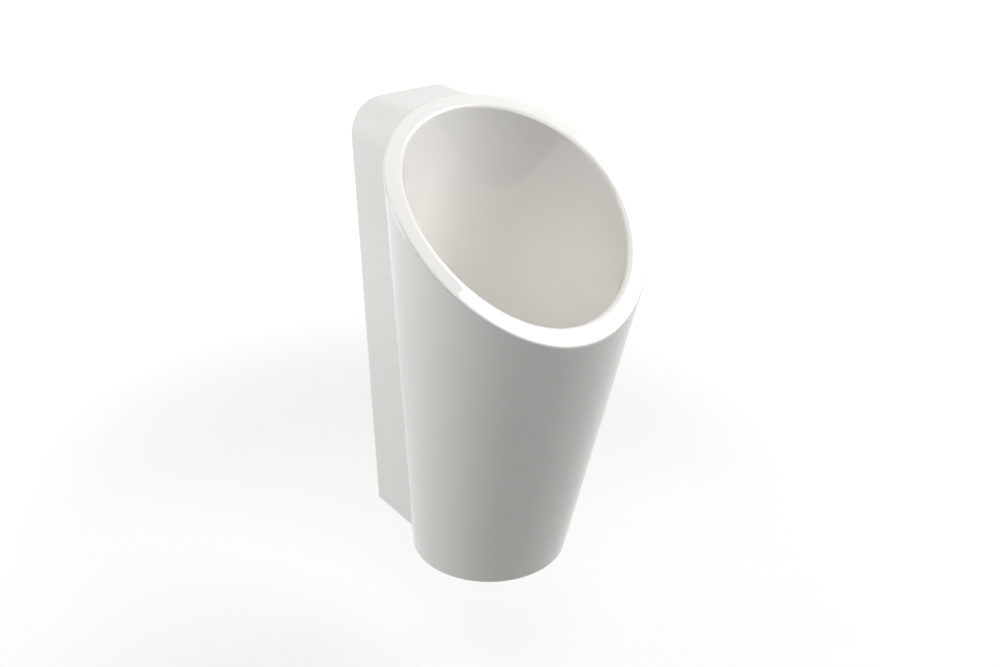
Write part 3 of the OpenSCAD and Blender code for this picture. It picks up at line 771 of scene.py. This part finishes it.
class OBJECT_OT_urinal_trap(Operator):
    """Rounds and finishes the trap housing, its nuts, the waste pipe and the cartridge's head and cage"""
    bl_idname = "object.urinal_trap"
    bl_label = "Trap housing, pipe and head"

    def execute(self, context):
        sizes = context.scene.urinal_fittings
        edge_r = sizes.plastic_edge_r
        grey = moulded_polypropylene("grey_polypropylene", sizes.grey_plastic, rough=(0.36, 0.5))
        white = moulded_polypropylene("white_polypropylene", sizes.white_plastic, rough=(0.3, 0.42))
        softened("trap_housing", "grey_trap_housing", edge_r, grey, "grey_fitting", "body")
        softened("union_nut", "grey_union_nut", edge_r, grey, "grey_fitting", "body")
        softened("housing_nut", "white_housing_nut", edge_r, white, "white_fitting", "body")
        softened("outlet_pipe", "white_outlet_pipe", edge_r, white, "white_fitting", "body")
        softened("cartridge_head", "white_cartridge_head", edge_r, white, "white_fitting", "cartridge")
        softened("float_cage", "white_float_cage", edge_r, white, "white_fitting", "cartridge")
        return {"FINISHED"}


class OBJECT_OT_urinal_cartridge(Operator):
    """Finishes the clear cup and the float with its moulding seam"""
    bl_idname = "object.urinal_cartridge"
    bl_label = "Cup and float"

    def execute(self, context):
        sizes = context.scene.urinal_fittings
        clear = clear_polycarbonate(sizes.clear_plastic)
        softened("cartridge_cup", "clear_cup", sizes.plastic_edge_r, clear, "clear_cup", "cartridge")
        low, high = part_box("float_ball")
        middle = (low + high) / 2
        shape = bmesh.new()
        bmesh.ops.create_uvsphere(
            shape, u_segments=SMALL, v_segments=SMALL, radius=(high.z - low.z) / 2,
            matrix=Matrix.Translation(middle))
        equator = [
            edge for edge in shape.edges
            if all(abs(end.co.z - middle.z) < WELD for end in edge.verts)]
        raised = bmesh.ops.bevel(
            shape, geom=equator, affect="EDGES", offset=2 * sizes.seam_t, segments=2, profile=0.5,
            material=-1)
        seam = [point for point in raised["verts"] if abs(point.co.z - middle.z) < WELD]
        for point in seam:
            point.co += (point.co - middle).normalized() * sizes.seam_t
        plastic = moulded_polypropylene("cream_float_plastic", sizes.float_plastic, rough=(0.34, 0.46))
        dressed(placed(shape, "cream_float"), plastic, "float_plastic", "float", "float_ball")
        return {"FINISHED"}


class OBJECT_OT_urinal_strainer(Operator):
    """Rounds the slots of the strainer lid and brushes it"""
    bl_idname = "object.urinal_strainer"
    bl_label = "Strainer lid"

    def execute(self, context):
        sizes = context.scene.urinal_fittings
        edge_r = sizes.steel_edge_r
        low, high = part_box("strainer_lid")
        steel = spun_stainless(sizes.steel, (low + high) / 2)
        softened("strainer_lid", "brushed_strainer", edge_r, steel, "strainer_steel", "strainer")
        return {"FINISHED"}


class OBJECT_OT_urinal_fixings(Operator):
    """Rounds and finishes the bracket, the anchors, the clamps and the clips"""
    bl_idname = "object.urinal_fixings"
    bl_label = "Wall fixings"

    def execute(self, context):
        sizes = context.scene.urinal_fittings
        edge_r = sizes.steel_edge_r
        plate = zinc_plated_steel("zinc_plated_plate", sizes.zinc, rough=(0.3, 0.45))
        bolt = zinc_plated_steel("zinc_plated_bolt", sizes.zinc, rough=(0.22, 0.36))
        strip = rolled_stainless(sizes.steel)
        softened("hanger_bracket", "zinc_hanger_bracket", edge_r, plate, "plated_steel", "body")
        softened("lower_anchors", "zinc_lower_anchors", edge_r, plate, "plated_steel", "body")
        softened("clamp_bolts", "zinc_clamp_bolts", edge_r, bolt, "bolt_steel", "body")
        softened("clamp_washers", "zinc_clamp_washers", edge_r, bolt, "bolt_steel", "body")
        softened("clamp_nuts", "zinc_clamp_nuts", edge_r, bolt, "bolt_steel", "body")
        softened("connector_clips", "steel_connector_clips", edge_r, strip, "clip_steel", "body")
        return {"FINISHED"}


def lamp(name, turn, rise, distance, width, brightness, target):
    """A square soft box that faces its target, turned to the right of the front and risen over it."""
    data = bpy.data.lights.new(name, "AREA")
    data.shape = "SQUARE"
    data.size = width
    # The watts follow the area, so that a larger soft box is as bright to look at
    data.energy = brightness * math.pi * width ** 2
    piece = bpy.data.objects.new(name, data)
    away = Vector((
        math.sin(turn) * math.cos(rise), -math.cos(turn) * math.cos(rise), math.sin(rise)))
    piece.location = target + away * distance
    piece.rotation_euler = away.to_track_quat("Z", "Y").to_euler()
    bpy.context.scene.collection.objects.link(piece)


class OBJECT_OT_urinal_stage(Operator):
    """Sets the floor, the dark screen, the soft boxes, the room light and the camera"""
    bl_idname = "object.urinal_stage"
    bl_label = "Studio"

    def execute(self, context):
        stage = context.scene.urinal_stage
        shape = bmesh.new()
        bmesh.ops.create_grid(
            shape, x_segments=1, y_segments=1, size=stage.floor_size,
            matrix=Matrix.Translation((0, 0, -stage.floor_drop)))
        floor = placed(shape, "floor")
        floor.data.materials.append(self.floor_paint(stage))
        self.flag(stage)
        target = Vector(stage.look_at)
        for name, (turn, rise) in SOFTBOXES.items():
            lamp(
                name + "_softbox", math.radians(turn), math.radians(rise), stage.lamp_distance,
                stage.softbox_w, getattr(stage, name), target)
        self.room(stage)
        self.camera(stage)
        context.scene.view_settings.view_transform = "Standard"
        return {"FINISHED"}

    def flag(self, stage):
        """Low dark screen round the front, which the camera doesn't see and the glaze reflects."""
        shape = bmesh.new()
        foot = Matrix.Rotation(stage.flag_from, 3, "Z") @ Vector((0, -stage.flag_away, 0))
        foot += Vector((stage.look_at[0], stage.look_at[1], -stage.floor_drop))
        ends = [shape.verts.new(foot), shape.verts.new(foot + Vector((0, 0, stage.flag_h)))]
        bmesh.ops.spin(
            shape, geom=ends + [shape.edges.new(ends)], cent=stage.look_at, axis=(0, 0, 1),
            angle=stage.flag_sweep, steps=SMALL)
        screen = placed(shape, "flag")
        screen.data.materials.append(flocked_card(stage.flag_colour))
        screen.visible_camera = False

    def floor_paint(self, stage):
        """Pale matt paint that keeps the object's shadow, and runs out to white away from it."""
        made, tree = material("pale_floor_paint")
        place = add(tree, "ShaderNodeTexCoord").outputs["Object"]
        mottle = add(
            tree, "ShaderNodeTexNoise", {"Vector": place, "Scale": 1 / FLOOR_MOTTLE, "Detail": 2})
        paint = stage.floor_colour
        tone = add(
            tree, "ShaderNodeMix",
            {0: mottle, MIX_A: shaded_by(paint, 1), MIX_B: shaded_by(paint, 0.985)}, data_type="RGBA")
        away = add(tree, "ShaderNodeVectorMath", {0: place}, operation="LENGTH")
        lift = add(
            tree, "ShaderNodeMapRange",
            {"Value": away.outputs["Value"], "From Min": stage.floor_near, "From Max": stage.floor_far,
             "To Min": stage.floor_lift, "To Max": 1}, interpolation_type="SMOOTHSTEP")
        seen = add(tree, "ShaderNodeMath", {0: lift, 1: self.seen_directly(tree)}, operation="MULTIPLY")
        surface = add(
            tree, "ShaderNodeBsdfPrincipled",
            {"Base Color": tone.outputs[MIX_COLOUR], "Roughness": 0.9, "Emission Color": WHITE,
             "Emission Strength": seen})
        add(tree, "ShaderNodeOutputMaterial", {"Surface": surface})
        return made

    def seen_directly(self, tree):
        """One for what the camera, a reflection or a clear piece shows, and nought for other light."""
        path = add(tree, "ShaderNodeLightPath").outputs
        shown = add(
            tree, "ShaderNodeMath", {0: path["Is Camera Ray"], 1: path["Is Glossy Ray"]},
            operation="MAXIMUM")
        return add(
            tree, "ShaderNodeMath", {0: shown, 1: path["Is Transmission Ray"]}, operation="MAXIMUM")

    def room(self, stage):
        """Even room light, which shows as white."""
        world = bpy.data.worlds.new("room")
        bpy.context.scene.world = world
        world.use_nodes = True
        tree = world.node_tree
        tree.nodes.clear()
        strength = add(
            tree, "ShaderNodeMapRange",
            {"Value": self.seen_directly(tree), "To Min": stage.ambient, "To Max": 1})
        background = add(tree, "ShaderNodeBackground", {"Color": WHITE, "Strength": strength})
        add(tree, "ShaderNodeOutputWorld", {"Surface": background})

    def camera(self, stage):
        """Camera at the photograph's angle."""
        data = bpy.data.cameras.new("camera")
        data.lens = stage.lens
        piece = bpy.data.objects.new("camera", data)
        piece.location = stage.eye
        view = Vector(stage.look_at) - Vector(stage.eye)
        piece.rotation_euler = view.to_track_quat("-Z", "Y").to_euler()
        bpy.context.scene.collection.objects.link(piece)
        bpy.context.scene.camera = piece


class VIEW3D_PT_urinal(Panel):
    """Lists the steps that build the urinal, with its sizes"""
    bl_label = "Urinal"
    bl_space_type = "VIEW_3D"
    bl_region_type = "UI"
    bl_category = "Urinal"

    def draw(self, context):
        scene = context.scene
        for step in STEPS:
            self.layout.operator(step.bl_idname)
        for settings in (scene.urinal_body, scene.urinal_fittings, scene.urinal_stage):
            for name in settings.__annotations__:
                self.layout.prop(settings, name)


STEPS = (
    OBJECT_OT_urinal_body, OBJECT_OT_urinal_seals, OBJECT_OT_urinal_trap, OBJECT_OT_urinal_cartridge,
    OBJECT_OT_urinal_strainer, OBJECT_OT_urinal_fixings, OBJECT_OT_urinal_stage)
CLASSES = (BodySizes, FittingSizes, StageSettings) + STEPS + (VIEW3D_PT_urinal,)


def register():
    """Makes the settings, the steps and the panel known to Blender."""
    for kind in CLASSES:
        bpy.utils.register_class(kind)
    bpy.types.Scene.urinal_body = PointerProperty(type=BodySizes)
    bpy.types.Scene.urinal_fittings = PointerProperty(type=FittingSizes)
    bpy.types.Scene.urinal_stage = PointerProperty(type=StageSettings)


def unregister():
    """Takes them away again."""
    del bpy.types.Scene.urinal_stage
    del bpy.types.Scene.urinal_fittings
    del bpy.types.Scene.urinal_body
    for kind in reversed(CLASSES):
        bpy.utils.unregister_class(kind)


def main():
    """Builds every piece and the stage."""
    register()
    bpy.ops.object.urinal_body()
    bpy.ops.object.urinal_seals()
    bpy.ops.object.urinal_trap()
    bpy.ops.object.urinal_cartridge()
    bpy.ops.object.urinal_strainer()
    bpy.ops.object.urinal_fixings()
    bpy.ops.object.urinal_stage()


if __name__ == "__main__":
    main()
